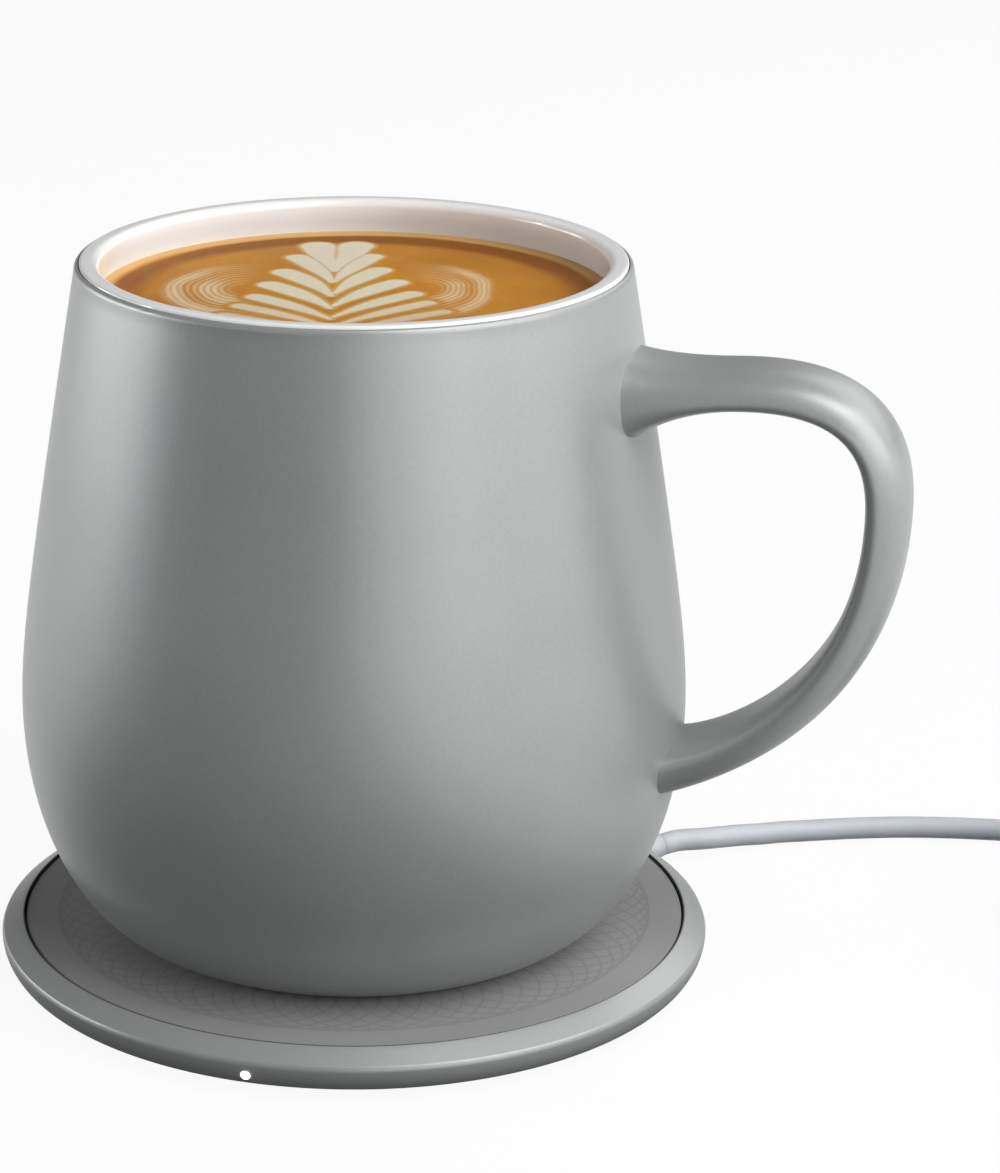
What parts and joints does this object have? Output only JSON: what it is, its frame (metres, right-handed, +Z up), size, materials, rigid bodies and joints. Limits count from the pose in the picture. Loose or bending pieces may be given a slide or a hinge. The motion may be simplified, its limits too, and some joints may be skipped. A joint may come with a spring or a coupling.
{
  "type": "self-heating mug with powered coaster",
  "caption": "Grey pear-shaped mug with a white inner cup, an ear handle and a heater in its base, standing on a round powered coaster with a lit dot and a fixed cord with a USB plug.",
  "frame": {"origin": "centre of the coaster's foot, on the table", "axes": "+Z up, +X towards the mug's handle, -Y towards the coaster's lit dot"},
  "size_m": [0.2165, 0.1256, 0.1079],
  "materials": {
    "grey_ceramic": "satin",
    "white_glaze": "gloss",
    "coaster_grey": "satin",
    "pad_grey": "matte",
    "dark_rubber": "matte",
    "dark_plastic": "matte",
    "board_green": "satin",
    "chip_black": "matte",
    "part_ceramic": "matte",
    "copper": "satin",
    "ferrite": "matte",
    "steel": "satin",
    "spreader_metal": "satin",
    "film_amber": "satin",
    "fibre": "matte",
    "cord_jacket": "satin",
    "lamp_white": "gloss",
    "insert_white": "gloss"
  },
  "bodies": {
    "coaster": {"coaster_foot": "dark_rubber", "coaster_base": "dark_plastic", "base_screws": "steel", "coaster_housing": "coaster_grey", "top_plate": "dark_plastic", "top_pad": "pad_grey", "transmit_ferrite": "ferrite", "transmit_coil": "copper", "control_board": "board_green", "board_chips": "chip_black", "board_capacitors": "part_ceramic", "status_led": "lamp_white", "light_pipe": "lamp_white", "strain_relief": "cord_jacket", "lead_wires": "copper", "cord_run": "cord_jacket", "cord_coil": "cord_jacket", "cord_tail": "cord_jacket", "cord_tie": "dark_rubber", "plug_relief": "cord_jacket", "plug_body": "cord_jacket", "plug_shell": "steel", "plug_insert": "insert_white"},
    "mug": {"mug_foot": "dark_rubber", "base_cover": "dark_plastic", "base_gasket": "dark_rubber", "cover_screws": "steel", "module_case": "dark_plastic", "receiver_coil": "copper", "receiver_ferrite": "ferrite", "receiver_board": "board_green", "receiver_chips": "chip_black", "heater_leads": "copper", "temperature_sensor": "part_ceramic", "insulation_disc": "fibre", "heater_film": "film_amber", "heat_spreader": "spreader_metal", "mug_liner": "white_glaze", "mug_shell": "grey_ceramic", "mug_handle": "grey_ceramic"}
  },
  "joints": [
    {"name": "mug_lift", "type": "slide", "parent": "coaster", "child": "mug", "axis": [0, 0, 1], "range_m": [0, 0.12]}
  ]
}
